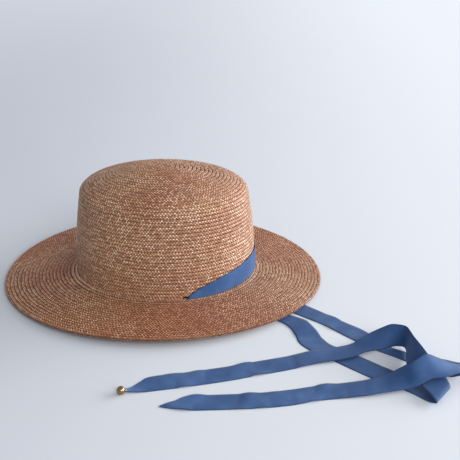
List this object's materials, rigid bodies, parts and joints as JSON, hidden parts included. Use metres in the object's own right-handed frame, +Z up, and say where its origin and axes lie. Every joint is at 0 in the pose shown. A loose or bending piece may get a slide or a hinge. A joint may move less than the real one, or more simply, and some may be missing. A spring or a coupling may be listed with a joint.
{
  "type": "straw hat",
  "caption": "Oval straw hat with a domed crown and a wide brim, a ribbon tie threaded through slits at the crown's foot, and a metal bead on one end of the tie.",
  "frame": {"origin": "on the surface under the middle of the whole hat, the laid ribbon ends included", "axes": "+Z up, the way the hat stands brim down; +X along the crown's long axis, towards the side where the ribbon ends lie; the long side with the near slit faces -Y"},
  "size_m": [0.4862, 0.4288, 0.1289],
  "materials": {
    "straw": "sewn straw braid, satin",
    "ribbon_cloth": "soft woven ribbon, matt",
    "gold": "polished gold colour"
  },
  "bodies": {
    "root": {"crown": "straw", "brim": "straw", "ribbon": "ribbon_cloth", "bead": "gold"}
  },
  "joints": []
}
